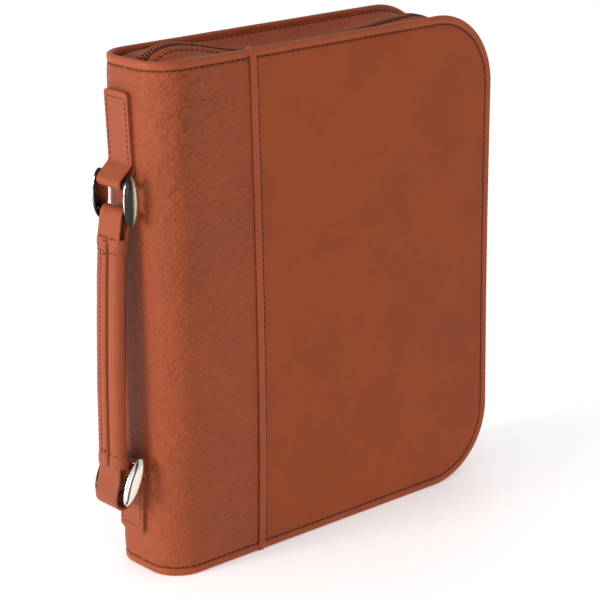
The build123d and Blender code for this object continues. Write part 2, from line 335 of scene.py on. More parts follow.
def math_node(tree, operation, *values):
    return add_node(tree, "Math", dict(enumerate(values)), operation=operation).outputs[0]


def bump(tree, height, strength, distance, normal=None):
    inputs = {"Strength": strength, "Distance": distance, "Height": height}
    if normal is not None:
        inputs["Normal"] = normal
    return add_node(tree, "Bump", inputs).outputs["Normal"]


def mixed(tree, share, a, b, blend="MIX"):
    return add_node(tree, "Mix", {0: share, 6: a, 7: b}, data_type="RGBA",
                    blend_type=blend).outputs[2]


def scaled(colour, factor):
    return tuple(c * factor for c in colour)


def turned(tree, coords):
    """Coordinates turned so that stretched noise runs at a slant."""
    return add_node(tree, "Mapping", {"Vector": coords, "Rotation": (0.35, 0.6, 0.65)}).outputs[0]


def bent(tree, coords, value, amount):
    """Coordinates pushed about by a noise value, so cells are uneven."""
    return add_node(tree, "VectorMath", {0: value, 1: grey(amount), 2: coords},
                    operation="MULTIPLY_ADD").outputs[0]


def bend_folds(tree, coords):
    """Slanting folds where the leather turns from spine to cover, strongest toward the top."""
    split = add_node(tree, "SeparateXYZ", {0: coords})
    along = math_node(tree, "MULTIPLY_ADD", split.outputs["X"], 20.0, 2.2)
    near_bend = ramp(tree, along, ((0.12, grey(0.1)), (0.38, grey(1)), (1.0, grey(0.12))))
    up = math_node(tree, "MULTIPLY", split.outputs["Z"], 3.5)
    near_top = ramp(tree, up, ((0.35, grey(0.25)), (0.85, grey(1))))
    strength = math_node(tree, "MULTIPLY", near_bend, near_top)
    streaks = add_noise(tree, turned(tree, coords), 330.0, 2.0, 0.5, stretch=(0.3, 1.0, 1.0))
    return math_node(tree, "MULTIPLY", streaks, strength)


def leather(name, colour, pebble, pebble_depth, crease, crease_depth, roughness,
            mottle, specular=0.35, folds=0.0):
    """Leatherette: blotchy tint, pebbled grain, slanting creases and pores, folds at a bend, and
    painted shade in the crease valleys.
    """
    material, tree, shader, coords = node_material(name)
    blotch = add_noise(tree, coords, 26.0, 7.0, 0.68)
    dark, light = scaled(colour, 1 - mottle), scaled(colour, 1 + mottle)
    tint = ramp(tree, blotch, ((0.34, dark), (0.5, colour), (0.66, light)))
    fine = add_noise(tree, coords, 1100.0, 3.0, 0.6)
    tint = mixed(tree, 0.3, tint, ramp(tree, fine, ((0.3, scaled(colour, 0.72)),
                                                    (0.7, scaled(colour, 1.22)))))
    warp = add_noise(tree, coords, 220.0, 3.0)
    cells = add_cells(tree, bent(tree, coords, warp, 0.0012), pebble)
    creases = add_noise(tree, turned(tree, coords), crease, 5.0, 0.62, stretch=(0.5, 1.0, 1.0))
    # Painted shade: the crease valleys are darkened toward half the tint.
    crease_shade_mask = ramp(tree, creases, ((0.36, grey(1)), (0.5, grey(0))))
    crease_shade_share = math_node(tree, "MULTIPLY", crease_shade_mask, min(0.22, crease_depth * 300))
    tint = mixed(tree, crease_shade_share, tint, scaled(colour, 0.5))
    normal = bump(tree, creases, 1.0, crease_depth)
    normal = bump(tree, cells, 1.0, -pebble_depth, normal)
    normal = bump(tree, fine, 0.6, pebble_depth * 0.35, normal)
    if folds:
        normal = bump(tree, bend_folds(tree, coords), 1.0, folds, normal)
    rough = math_node(tree, "MULTIPLY_ADD", blotch, 0.25, roughness - 0.12)
    set_inputs(tree, shader, {"Base Color": tint, "Normal": normal, "Roughness": rough,
                              "Specular IOR Level": specular, "Sheen Weight": 0.03,
                              "Sheen Roughness": 0.5})
    return material


def woven(name, colour, pitch, roughness=0.8):
    """Plain weave: two crossed sets of threads."""
    material, tree, shader, coords = node_material(name)
    threads = [add_node(tree, "TexWave", {"Vector": coords, "Scale": 0.314 / pitch,
                                          "Distortion": 0.4, "Detail": 1.0},
                        bands_direction=axis).outputs["Fac"] for axis in ("X", "Z")]
    weave = math_node(tree, "MAXIMUM", *threads)
    fuzz = add_noise(tree, coords, 1400.0, 2.0)
    tint = ramp(tree, math_node(tree, "MULTIPLY", weave, fuzz),
                ((0.1, scaled(colour, 0.55)), (0.6, scaled(colour, 1.25))))
    set_inputs(tree, shader, {"Base Color": tint, "Normal": bump(tree, weave, 0.7, 0.0002),
                              "Roughness": roughness, "Sheen Weight": 0.3})
    return material


def metal(name, colour, roughness, painted_reflection=None):
    """Polished plated metal; the last argument, if given, is a painted reflection: colour bands laid
    into the tint from left to right by the reflection direction.
    """
    material, tree, shader, coords = node_material(name)
    smear = add_noise(tree, coords, 300.0)
    rough = math_node(tree, "MULTIPLY_ADD", smear, 0.12, roughness)
    tint = ramp(tree, smear, ((0.3, scaled(colour, 0.9)), (0.7, colour)))
    # Painted reflection: the tint is multiplied by colour bands chosen by which way the reflection
    # points, left to right.
    if painted_reflection is not None:
        mirror = add_node(tree, "TexCoord", {}).outputs["Reflection"]
        split = add_node(tree, "SeparateXYZ", {0: mirror})
        place = math_node(tree, "MULTIPLY_ADD", split.outputs["X"], 0.5, 0.5)
        tint = mixed(tree, 1.0, tint, ramp(tree, place, painted_reflection), "MULTIPLY")
    set_inputs(tree, shader, {"Base Color": tint, "Metallic": 1.0, "Roughness": rough,
                              "Normal": bump(tree, smear, 0.05, 0.0001)})
    return material


def page_edges(name, colour):
    """Paper block: hundreds of leaves as fine uneven lines across its thickness."""
    material, tree, shader, coords = node_material(name)
    lines = add_noise(tree, coords, 1.0, 3.0, 0.7, stretch=(2.0, 2600.0, 2.0))
    tint = ramp(tree, lines, ((0.3, scaled(colour, 0.62)), (0.55, colour),
                              (0.8, scaled(colour, 1.08))))
    soil = math_node(tree, "MULTIPLY", add_noise(tree, coords, 20.0), 0.25)
    set_inputs(tree, shader, {"Base Color": mixed(tree, soil, tint, scaled(colour, 0.8)),
                              "Normal": bump(tree, lines, 0.5, 0.0003), "Roughness": 0.75})
    return material


def plain_grain(name, colour, scale, roughness, depth=0.0001, specular=0.3):
    """Board, foam, nylon and thread: a speckled tint with a fine tooth."""
    material, tree, shader, coords = node_material(name)
    speck = add_noise(tree, coords, scale, 5.0, 0.65)
    tint = ramp(tree, speck, ((0.3, scaled(colour, 0.7)), (0.7, scaled(colour, 1.25))))
    set_inputs(tree, shader, {"Base Color": tint, "Normal": bump(tree, speck, 0.5, depth),
                              "Roughness": roughness, "Specular IOR Level": specular})
    return material


TAN = (0.310, 0.062, 0.0185)
# Tint, pebble scale and depth, crease scale and depth (the depth also sets the painted crease
# shade), roughness, mottle, specular, folds.
HIDES = (("grained_leather", 0.93, 640.0, 0.00045, 400.0, 0.0010, 0.48, 0.12, 0.17, 0.0042),
         ("smooth_leather", 0.92, 1500.0, 0.00008, 240.0, 0.00014, 0.62, 0.17, 0.12, 0.0),
         ("binding_leather", 1.02, 1500.0, 0.00007, 300.0, 0.00018, 0.40, 0.12, 0.18, 0.0),
         ("gusset_leather", 0.92, 1400.0, 0.00008, 260.0, 0.00025, 0.52, 0.16, 0.1, 0.0),
         ("handle_leather", 0.9, 1500.0, 0.00006, 300.0, 0.00018, 0.46, 0.1, 0.22, 0.0))
grained, smooth_hide, edge_hide, gusset_hide, handle_hide = (
    leather(name, scaled(TAN, tint), *values) for name, tint, *values in HIDES)
thread = plain_grain("thread", (0.045, 0.011, 0.013), 2500.0, 0.6)
coil_nylon = plain_grain("coil_nylon", (0.260, 0.066, 0.027), 1800.0, 0.45, specular=0.25)
tape_cloth = woven("tape_cloth", (0.060, 0.016, 0.012), 0.0007)
lining_cloth = woven("lining_cloth", (0.020, 0.017, 0.016), 0.0009)
board_card = plain_grain("board_card", (0.30, 0.26, 0.20), 700.0, 0.9)
foam = plain_grain("foam", (0.05, 0.05, 0.05), 900.0, 0.95, 0.0004)
# White, cream, dusk and near-black make the painted reflection bands of the two nickel finishes;
# white also lights the floor and the world.
WHITE, REFLECTED_CREAM, REFLECTED_DUSK, REFLECTED_DARK = grey(1), (0.93, 0.90, 0.83), (0.42, 0.38, 0.31), (0.05, 0.045, 0.04)
upper_nickel = metal("upper_nickel", (0.92, 0.89, 0.84), 0.05,
                     ((0.0, WHITE), (0.03, WHITE), (0.09, REFLECTED_DARK), (0.70, REFLECTED_DARK), (0.82, REFLECTED_DUSK),
                      (0.95, REFLECTED_CREAM)))
lower_nickel = metal("lower_nickel", (0.95, 0.92, 0.86), 0.05,
                     ((0.0, WHITE), (0.25, REFLECTED_CREAM), (0.36, REFLECTED_DARK), (0.46, REFLECTED_DARK), (0.53, REFLECTED_CREAM),
                      (0.95, REFLECTED_CREAM)))
zip_metal = metal("zip_nickel", (0.70, 0.67, 0.62), 0.18)
bible_hide = leather("bible_leather", (0.016, 0.014, 0.016), 900.0, 0.0002, 300.0, 0.0003, 0.4,
                     0.2)
paper = page_edges("page_leaves", (0.82, 0.76, 0.62))
band_silk = woven("band_silk", (0.62, 0.45, 0.12), 0.0012, roughness=0.45)
ribbon_satin = woven("ribbon_satin", (0.30, 0.015, 0.02), 0.0004, roughness=0.35)


# ---------------------------------------------------------------- case: shared shape

def cover_bulge(x, z):
    """How far the padded face stands out from the flat cover, in mm."""
    rise = np.sin(np.pi * np.clip(z / HEIGHT, 0, 1)) ** 0.8
    along = 1 - smoothstep(FORE_X - 95, FORE_X - 4, x)
    toward_spine = 0.35 + 0.65 * smoothstep(SPINE_X, SPINE_X + 45, x)
    return PAD * rise * along * toward_spine


def fore_pull(x, z):
    """The opening side is drawn in a little at mid height."""
    return -1.3 * smoothstep(FORE_X - 60, FORE_X, x) * np.sin(np.pi * np.clip(z / HEIGHT, 0, 1))


def outline_right(z, inset):
    """Right-hand edge of a cover drawn in by the inset, at one height."""
    radius = CORNER - inset
    rise = np.clip(abs(z - HEIGHT / 2) - (HEIGHT / 2 - CORNER), 0, radius)
    return FORE_X - inset - radius + math.sqrt(max(radius ** 2 - rise ** 2, 0))


def edge_distance(x, z, inset):
    """Distance inside the cover's outline, drawn in by the inset."""
    up = abs(z - HEIGHT / 2)
    dx, dz = x - (FORE_X - CORNER), up - (HEIGHT / 2 - CORNER)
    if dx > 0 and dz > 0:
        return CORNER - inset - math.hypot(dx, dz)
    return min(FORE_X - inset - x, HEIGHT / 2 - inset - up)


def edge_levels(length, step, near=(0.0, 0.35, 0.8, 1.3, 2.0, 3.0, 4.5)):
    """Spacing that is fine at both ends of a length and even between."""
    near = np.array(near)
    middle = np.linspace(near[-1], length - near[-1],
                         max(2, int((length - 2 * near[-1]) / step)))[1:-1]
    return np.concatenate([near, middle, length - near[::-1]])


def panel_lattice(left, inset, step):
    """Lattice over a cover's field: rows up the height, columns to the rounded outline."""
    zs = inset + edge_levels(HEIGHT - 2 * inset, step)
    shares = edge_levels(100.0, step, near=(0, 0.3, 0.7, 1.2, 2.0, 3.2, 5.0)) / 100
    verts = np.zeros((len(zs), len(shares), 3))
    for i, z in enumerate(zs):
        right = outline_right(z, inset)
        for j, share in enumerate(shares):
            verts[i, j] = (left + (right - left) * share, 0, z)
    return verts


def rim_path():
    """Front cover's edge from mid spine top, round the cover, to mid spine foot.

    Gives edge points, the direction out of the edge, and the face's outward normal."""
    upper = [((SPINE_X, -FLAT_Y * t, HEIGHT), (0, 0, 1), (-1, 0, 0))
             for t in (-0.19, 0.0, 0.2, 0.4, 0.6, 0.8)]
    for a in np.radians(np.linspace(180, 270, 19)[:-1]):
        n = (math.cos(a), math.sin(a), 0)
        upper.append(((BEND_X + BEND * n[0], -FLAT_Y + BEND * n[1], HEIGHT), (0, 0, 1), n))
    upper += [((x, -FACE_Y, HEIGHT), (0, 0, 1), (0, -1, 0))
              for x in np.linspace(BEND_X, FORE_X - CORNER, 70)[:-1]]
    for a in np.radians(np.linspace(90, 0, 24)[:-1]):
        c, s = math.cos(a), math.sin(a)
        upper.append(((FORE_X - CORNER + CORNER * c, -FACE_Y, HEIGHT - CORNER + CORNER * s),
                      (c, 0, s), (0, -1, 0)))
    fore = [((FORE_X, -FACE_Y, z), (1, 0, 0), (0, -1, 0))
            for z in np.linspace(HEIGHT - CORNER, CORNER, 70)[:-1]]
    lower = [((p[0], p[1], HEIGHT - p[2]), (o[0], 0, -o[2]), n) for p, o, n in reversed(upper)]
    points, outs, normals = (np.array(a, float) for a in zip(*upper, *fore, *lower))
    points[:, 0] += fore_pull(points[:, 0], points[:, 2])
    return points, outs, normals


RIM, RIM_OUT, RIM_NORMAL = rim_path()


def bends(obj, side):
    """Bake a piece's placement into its mesh; side is not used."""
    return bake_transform(obj)


def place_round(u):
    """Point and normal at a distance from mid spine round the bend and on along the cover."""
    u = np.asarray(u, float)
    a = np.pi + np.clip((u - FLAT_Y) / ARC, 0, 1) * np.pi / 2
    on_flat = u < FLAT_Y
    on_cover = u > FLAT_Y + ARC
    x = np.where(on_flat, SPINE_X, np.where(on_cover, BEND_X + u - FLAT_Y - ARC,
                                            BEND_X + BEND * np.cos(a)))
    y = np.where(on_flat, -u, np.where(on_cover, -FACE_Y, -FLAT_Y + BEND * np.sin(a)))
    nx = np.where(on_flat, -1, np.where(on_cover, 0, np.cos(a)))
    ny = np.where(on_flat, 0, np.where(on_cover, -1, np.sin(a)))
    return x, y, nx, ny


def round_at(x):
    """Distance round the bend at which the cover reaches x."""
    return FLAT_Y + ARC + x - BEND_X


def round_lattice(us, zs, rise):
    """Lattice round the bend and over the cover, raised by rise(u, x, z) and kept inside."""
    stations = list(zip(us, *place_round(us)))
    lattice = []
    for z in zs:
        limit = outline_right(z, EDGE + 0.3)
        row = [(x, y, nx, ny, rise(u, x, z)) for u, x, y, nx, ny in stations]
        lattice.append([(min(x, limit) + nx * out, y + ny * out, z) for x, y, nx, ny, out in row])
    return lattice


GROOVE = 0.95       # depth of the sewn groove beside the binding
GROOVE_RUN = 2.0    # how far the leather takes to rise out of it


def groove(distance):
    """Depth of the sewn groove at a distance from the binding."""
    return GROOVE * (1 - smoothstep(-0.4, GROOVE_RUN, distance))


# ---------------------------------------------------------------- case: outer leather

def wrinkle(u, z):
    """Soft folds of the grained leather, deepest round the bend near the top."""
    bend_share = math.exp(-((u - FLAT_Y - 16) / 18) ** 2)
    top_share = 0.3 + 0.7 * math.exp(-((HEIGHT - z - 25) / 60) ** 2)
    slant = wobble(0.32, u * 0.10 + z * 0.07, z * 0.16 - u * 0.12, 3.1)
    across = wobble(0.45, u * 0.13 - z * 0.10, u * 0.42 + z * 0.55, 7.7)
    folds = bend_share * top_share * (slant + across)
    return float(smoothstep(3, 14, u)) * (folds + wobble(0.07, u * 0.5, z * 0.5, 1.3))


def build_wrap(side):
    """Grained leather from mid spine round the bend to the seam."""
    end = round_at(SEAM_X) - STRIP / 2 + 0.9
    us = np.concatenate([[-1.5, -0.7], np.linspace(0, end - 4, 84),
                         end - 4 + np.array([1, 2, 2.8, 3.4, 4])])
    zs = BEAD - 0.4 + edge_levels(HEIGHT - 2 * BEAD + 0.8, 1.5)

    def rise(u, x, z):
        edge_gap = min(z - BEAD, HEIGHT - BEAD - z)
        sink = max(groove(edge_gap), groove(end - u) * 0.8) + 0.06 * max(0.0, -u)
        return cover_bulge(x, z) - sink + wrinkle(u, z) * min(1.0, max(0.0, edge_gap / 4))

    obj = sheet(f"{side}_wrap_leather", round_lattice(us, zs, rise), grained, side, 1.0)
    return bends(swap(obj, "grained_leather", f"{side}_wrap", "spine_wrap"), side)


def build_panel(side):
    """Smooth field of a cover, sunk along the binding and slack in the middle."""
    left = SEAM_X + STRIP / 2 - 0.9
    lattice = panel_lattice(left, BEAD - 0.3, 2.4)
    for p in lattice.reshape(-1, 3):
        x, z = p[0], p[2]
        gap = edge_distance(x, z, BEAD)
        sink = max(groove(gap), 0.55 * groove(x - left))
        soft = 0.22 * fbm(x * 0.03, 1.7, z * 0.03) + 0.07 * fbm(x * 0.12, 4.1, z * 0.12)
        rise = cover_bulge(x, z) - sink + soft * min(1, max(0, gap / 6))
        p[0] = x + fore_pull(x, z)
        p[1] = -FACE_Y - rise
    obj = sheet(f"{side}_panel_leather", lattice, smooth_hide, side, 1.0)
    return mount(obj, f"{side}_cover", "smooth_leather", f"{side}_panel")


def build_binding(side):
    """Rolled edge, a soft bead all round the cover and half the spine."""
    centre = RIM - RIM_OUT * (BEAD / 2) - RIM_NORMAL * 1.5
    sections = np.repeat(rounded(BEAD + 0.4, 3.2, 1.58, 6)[None], len(centre), axis=0)
    for k, s in enumerate(lengths(RIM)):
        sections[k] *= 1 + wobble(0.02, s * 0.09, 0.4, 2.2)
    sections[[0, -1]] *= 0.95       # tucked in where front and back meet
    obj = solid(f"{side}_edge_binding", *tube(centre, RIM_OUT, RIM_NORMAL, sections), edge_hide,
                side)
    swap(obj, "binding_leather", f"{side}_binding", "spine_top_binding", "spine_foot_binding")
    return bends(obj, side)


def build_edge_stitches(side):
    """Stitches in the groove beside the rolled edge, all the way round."""
    line = (RIM - RIM_OUT * (BEAD + 0.5))[1:-1]
    normals = RIM_NORMAL[1:-1]
    bulge = np.array([cover_bulge(p[0], p[2]) for p in line])
    line = line + normals * (bulge[:, None] - 0.52)
    obj = piece(f"{side}_edge_stitches", *stitch_mesh(line, normals), thread, side)
    return bends(obj, side)


def build_strip(side):
    """Folded strip over the seam; the front one is carried over the rolled edge."""
    zs = np.linspace(3.5, HEIGHT - 3.5, 80)
    face = [(SEAM_X, -FACE_Y - cover_bulge(SEAM_X, z) - 0.15, z) for z in zs]
    foot = [(SEAM_X, -FACE_Y + 3.9, 2.6), (SEAM_X, -FACE_Y + 3.4, 0.3),
            (SEAM_X, -FACE_Y + 1.8, -0.05), (SEAM_X, -FACE_Y + 0.3, 0.6)]
    head = [(SEAM_X, p[1], HEIGHT - p[2]) for p in reversed(foot)]
    path = resample(foot + face + head if side == "front" else face, 1.5)
    path[:, 0] += 0.35 * np.sin(path[:, 2] * 0.021 + 0.6)
    across = (1.0, 0, 0)
    out = unit(np.cross(across, tangents(path)))
    half = STRIP / 2
    section = np.array([(-half + 0.2, -0.6), (-half, 0.15), (-half + 0.35, 0.75),
                        (-half + 1.0, 1.0), (0, 1.08), (half - 1.2, 0.95), (half - 0.45, 0.55),
                        (half, -0.1), (half - 0.1, -0.6)])
    obj = solid(f"{side}_seam_fold", *tube(path, across, out, section), edge_hide, side)
    mount(obj, f"{side}_cover", "grained_leather", f"{side}_seam_strip")
    inner = slice(6, -6) if side == "front" else slice(1, -1)
    line = path[inner] + [half + 0.55, 0.35, 0]
    return sew(f"{side}_seam_stitches", [stitch_mesh(line, out[inner])], f"{side}_cover", side)


# ---------------------------------------------------------------- case: zip

ZIP_INSET = low("front_gusset")[2]
TAIL_X = SPINE_X + 27.0         # where the zip's turned-down end meets the straight run
TAIL_WIDE, TAIL_HIGH = 17.0, 9.0
SEWN_OUT = 2.3                  # the gusset's sewn edge stands this far outside the inset line


def zip_height(d):
    """Height of the slack zip along the top: a hump by the spine, then a shallow trough."""
    top = HEIGHT - ZIP_INSET
    return top + 7.4 - 9.4 * smoothstep(25, 80, d) + 3.2 * smoothstep(140, 190, d)


def zip_run():
    """Middle of the zip round three sides, the gusset's sewn line, and the way out."""
    points, sewn, outs = [], [], []
    radius = CORNER - ZIP_INSET
    corner_x, top = FORE_X - CORNER, HEIGHT - ZIP_INSET

    def put(x, z, sewn_x, sewn_z, out_x, out_z):
        points.append((x, 0, z))
        sewn.append((sewn_x, 0, sewn_z))
        outs.append((out_x, 0, out_z))

    def put_corner(start, end, middle_z, slack):
        for a in np.radians(np.linspace(start, end, 26)[:-1]):
            c, s = math.cos(a), math.sin(a)
            reach, sewn_reach = radius + slack * s + 0.3, radius + SEWN_OUT
            pull = c * float(fore_pull(FORE_X, middle_z))
            put(corner_x + reach * c + 1.6 * pull, middle_z + reach * s,
                corner_x + sewn_reach * c + pull, middle_z + sewn_reach * s, c, s)

    def put_tail(angles, middle_z, sewn_z):
        for a in np.radians(angles):
            c, s = math.cos(a), math.sin(a)
            x = TAIL_X + TAIL_WIDE * c
            put(x, middle_z + TAIL_HIGH * s, x, sewn_z + 4 * s, c * TAIL_HIGH, s * TAIL_WIDE)

    start_x, start_z = TAIL_X - TAIL_WIDE, zip_height(TAIL_X - SPINE_X) - TAIL_HIGH
    for down in (7.0, 4.5, 2.0):
        put(start_x, start_z - down, start_x, top - 2.6 - down, -1, 0)
    put_tail(np.linspace(180, 90, 26)[:-1], start_z, top + SEWN_OUT - 4)
    for x in np.linspace(TAIL_X, corner_x, 90)[:-1]:
        put(x, float(zip_height(x - SPINE_X)), x, top + SEWN_OUT, 0, 1)
    put_corner(90, 0, HEIGHT - CORNER, 1.2)
    for z in np.linspace(HEIGHT - CORNER, CORNER, 90)[:-1]:
        pull = float(fore_pull(FORE_X, z))
        edge = FORE_X - ZIP_INSET
        put(edge + 0.3 + 1.6 * pull, z, edge + SEWN_OUT + pull, z, 1, 0)
    put_corner(0, -90, CORNER, 0.0)
    for x in np.linspace(corner_x, TAIL_X, 90)[:-1]:
        put(x, ZIP_INSET - 0.3, x, ZIP_INSET - SEWN_OUT, 0, -1)
    put_tail(np.linspace(-90, -180, 26), ZIP_INSET - 0.3 + TAIL_HIGH, ZIP_INSET - SEWN_OUT + 4)
    points, sewn, outs = (np.array(a, float) for a in (points, sewn, outs))
    return resample(points, 1.5, points, sewn, unit(outs))[1:]


ZIP, SEWN, ZIP_OUT = zip_run()
FOLD = 3.4          # half width of the slot the zip shows through
HEM = 7.4           # distance of the sewn hem from the middle of the zip


def sewn_wall(x):
    """How far out the gusset reaches: just under the rolled edge, also round the bend."""
    return FLAT_Y + np.sqrt(BEND ** 2 - np.minimum(x - BEND_X, 0) ** 2) - 2.5


def gusset_point(k, y):
    """Gusset surface at one station of the zip and one distance from its middle."""
    wall = float(sewn_wall(ZIP[k, 0]))
    share = np.clip((y - HEM) / (wall - HEM), 0, 1)
    slack = 2.3 + wobble(0.5, k * 0.045, y * 0.05, 5.0)
    sag = slack * math.sin(math.pi * share ** 0.8) - 0.5 * math.sin(math.pi * share ** 3)
    at = ZIP[k] + (SEWN[k] - ZIP[k]) * share ** 1.25 - ZIP_OUT[k] * sag * (1 - share * 0.3)
    fold = 0.75 * math.exp(-((y - FOLD - 1.1) / 1.3) ** 2)
    dent = 0.5 * math.exp(-((y - HEM) / 0.8) ** 2)
    ripple = wobble(0.14, k * 0.5, y * 0.45, 1.0) * smoothstep(HEM, HEM + 3, y)
    out = fold - dent - 0.75 * (1 - share) * smoothstep(FOLD, HEM, y) + ripple
    return at + ZIP_OUT[k] * out - np.array([0, y, 0])


def gusset_rows():
    """Gusset points: the edge folded under at the zip, the hem, then the wall."""
    hem = (FOLD + 0.2, FOLD, FOLD + 0.25, FOLD + 1.0, FOLD + 1.9, HEM - 1.2, HEM - 0.5, HEM,
           HEM + 0.5, HEM + 1.2)
    rows = []
    for k in range(len(ZIP)):
        wall = np.linspace(hem[-1], float(sewn_wall(ZIP[k, 0])), 15)[1:]
        row = [gusset_point(k, y) for y in (*hem, *wall)]
        row[0] -= ZIP_OUT[k] * 1.5
        row[1] -= ZIP_OUT[k] * 0.5
        rows.append(row)
    return rows


def build_gusset(side):
    obj = sheet(f"{side}_gusset_leather", gusset_rows(), gusset_hide, side, 0.9)
    mount(obj, f"{side}_cover", "gusset_leather", f"{side}_gusset")
    inner = range(3, len(ZIP) - 3)
    hem = [gusset_point(k, HEM) for k in inner]
    edge = [gusset_point(k, float(sewn_wall(ZIP[k, 0])) - 1.7) for k in inner]
    lines = [stitch_mesh(np.array(line), ZIP_OUT[3:-3], length=2.3, radius=0.3, lift=0.16)
             for line in (hem, edge)]
    return sew(f"{side}_gusset_stitches", lines, f"{side}_cover", side)


def build_zip_half(side):
    """Half of the zip: a strip of tape and a nylon coil turned through it."""
    across = (0, -1.0, 0)
    line = np.array([(0.3, -0.6), (2.4, -0.65), (3.6, -1.2), (HEM - 1, -1.75)])
    section = np.vstack([line, line[::-1] - [0, 0.55]])
    tape = solid(f"{side}_tape_cloth", *tube(ZIP, across, ZIP_OUT, section), tape_cloth, side)
    mount(tape, f"{side}_cover", "zip_fabric", f"{side}_zip_tape")
    pitch, wire, turn_steps = 1.75, 0.46, 8
    middle_out, half_high, middle_across, half_wide = 0.65, 0.80, 1.3, 1.1
    run = lengths(ZIP)
    count = int(run[-1] / pitch) * turn_steps
    shift = 0.0 if side == "front" else pitch / 2
    at = np.linspace(0.5, run[-1] - 0.5 - pitch, count) + shift
    turn = np.arange(count) * 2 * np.pi / turn_steps
    up = unit(sample(at, run, ZIP_OUT))
    path = (sample(at, run, ZIP) + up * (middle_out + half_high * np.sin(turn))[:, None]
            + np.outer(middle_across + half_wide * np.cos(turn), across))
    along = tangents(path)
    first = unit(np.cross(along, up + 0.01))
    second = np.cross(along, first)
    ring = [(wire * math.cos(a), wire * math.sin(a)) for a in np.arange(5) * 2 * np.pi / 5]
    coil = solid(f"{side}_coil_teeth", *tube(path, first, second, ring), coil_nylon, side)
    return mount(coil, f"{side}_cover", "zip_coil", f"{side}_zip_coil")


# ---------------------------------------------------------------- case: inside

def build_lining(side):
    """Thin woven lining, from mid spine round the bend and over the whole cover."""
    bend_end = round_at(BEND_X) + 1
    us = np.concatenate([np.linspace(0, bend_end, 30),
                         np.linspace(bend_end, round_at(FORE_X - EDGE - 0.4), 60)[1:]])
    zs = np.linspace(EDGE + 0.2, HEIGHT - EDGE - 0.2, 110)
    lattice = round_lattice(us, zs, lambda u, x, z: -3.3 - wobble(0.08, u * 0.08, z * 0.08, 9.0))
    obj = sheet(f"{side}_lining_cloth", lattice, lining_cloth, side, 0.6)
    return bends(swap(obj, "case_lining", f"{side}_lining", "spine_lining"), side)


def build_pocket(side):
    """Leather pocket: a flat bag sewn to the lining on three sides, open to the spine."""
    node = f"{side}_pocket"
    left, inset = low(node)[0], low(node)[2]
    depth = high(node)[1] - low(node)[1]
    lattice = panel_lattice(left, inset, 4.0)
    for p in lattice.reshape(-1, 3):
        gap = edge_distance(p[0], p[2], inset)
        wave = wobble(0.12, p[0] * 0.05, 2.0, p[2] * 0.05) * smoothstep(4, 12, gap)
        p[1] = -(INNER_Y + 0.4) + smoothstep(-0.1, 2.6, gap) * depth - 0.3 + wave
    obj = sheet(f"{side}_pocket_leather", lattice, gusset_hide, side, -0.7)
    return mount(obj, f"{side}_cover", "gusset_leather", node)


# ---------------------------------------------------------------- handle and hardware

def circle_join(start, centre, radius, end, clockwise):
    """Arc round a circle that runs tangent from start and on to end, in the x-z view."""
    start, centre, end = (np.array(p, float) for p in (start, centre, end))
    sign = -1 if clockwise else 1

    def touch(point, way):
        gap = point - centre
        return math.atan2(gap[1], gap[0]) + way * math.acos(min(1, radius / math.hypot(*gap)))

    a, b = touch(start, sign), touch(end, -sign)
    while (b - a) * sign < 0:
        b += sign * 2 * math.pi
    return [centre + radius * np.array([math.cos(t), math.sin(t)]) for t in np.linspace(a, b, 26)]


def soften(points, rounds):
    """Round the corners of a polyline and keep its ends."""
    points = np.asarray(points, float)
    for _ in range(rounds):
        points = resample(points, 1.0)
        inner = (points[:-2] + 2 * points[1:-1] + points[2:]) / 4
        points = np.vstack([points[:1], inner, points[-1:]])
    return points


def ribbon(path_xz, width, thick, end_radius=0.0):
    """Strap of leather following a path in the x-z view, its end corners rounded."""
    path = np.stack([path_xz[:, 0], np.zeros(len(path_xz)), path_xz[:, 1]], 1)
    across = (0, 1.0, 0)
    out = unit(np.cross(tangents(path), across))
    sections = np.repeat(rounded(width, thick, thick * 0.45, 3)[None], len(path), axis=0)
    run = lengths(path)
    for k, s in enumerate(run):
        for gap in (s, run[-1] - s):
            if gap < end_radius:
                cut = end_radius - math.sqrt(end_radius ** 2 - (end_radius - gap) ** 2)
                sections[k, :, 0] *= 1 - 2 * cut / width
    return tube(path, across, out, sections)


def tab_lean(z, bar_z):
    """The tabs are sewn a little askew, further toward the back cover away from their bars."""
    return 2.0 + 2.4 * np.abs(z - bar_z) / 45


def build_tab(end, top, foot):
    """Two-layer strap sewn to the spine and folded round a link's bar."""
    name, node = f"{end}_tab", f"{end}_anchor_tab"
    bar = joint_place(f"{end}_link_hinge")[[0, 2]]
    loop_up = end == "lower"
    layer = 1.3
    near, far = SPINE_X - layer * 0.55, SPINE_X - layer * 1.75
    width = high(node)[1] - low(node)[1]
    way = 1 if loop_up else -1
    free, folded = (foot, top) if loop_up else (top, foot)
    outer = [(far, free), (far, folded - 1.5 * way)]
    inner = [(near, folded + 1.0 * way), (near, free)]
    arc = circle_join(outer[-1], bar, BAR_RADIUS + 0.1 + layer / 2, inner[0], clockwise=loop_up)
    path = soften(np.array(outer + arc + inner), 2)
    verts, faces = ribbon(resample(path, 0.5), width, layer, 2.4)
    verts[:, 1] += tab_lean(verts[:, 2], bar[1])
    mount(solid(name, verts, faces, handle_hide), "spine", "grained_leather", node)
    reach = width / 2 - 2.0
    face = far - layer / 2 - 0.05
    high_z, low_z = top - (2.4 if loop_up else 3.4), foot + (3.4 if loop_up else 0.6)
    corners = np.array([(face, -reach, high_z), (face, reach, high_z), (face, reach, low_z),
                        (face, -reach, low_z), (face, -reach, high_z)])
    corners[:, 1] += tab_lean(corners[:, 2], bar[1])
    rows = [stitch_mesh(np.linspace(a, b, 12), (-1, 0, 0), 2.7, 2.1, 0.24, 0.0)
            for a, b in zip(corners[:-1], corners[1:])]
    return sew(f"{name}_stitches", rows, "spine")


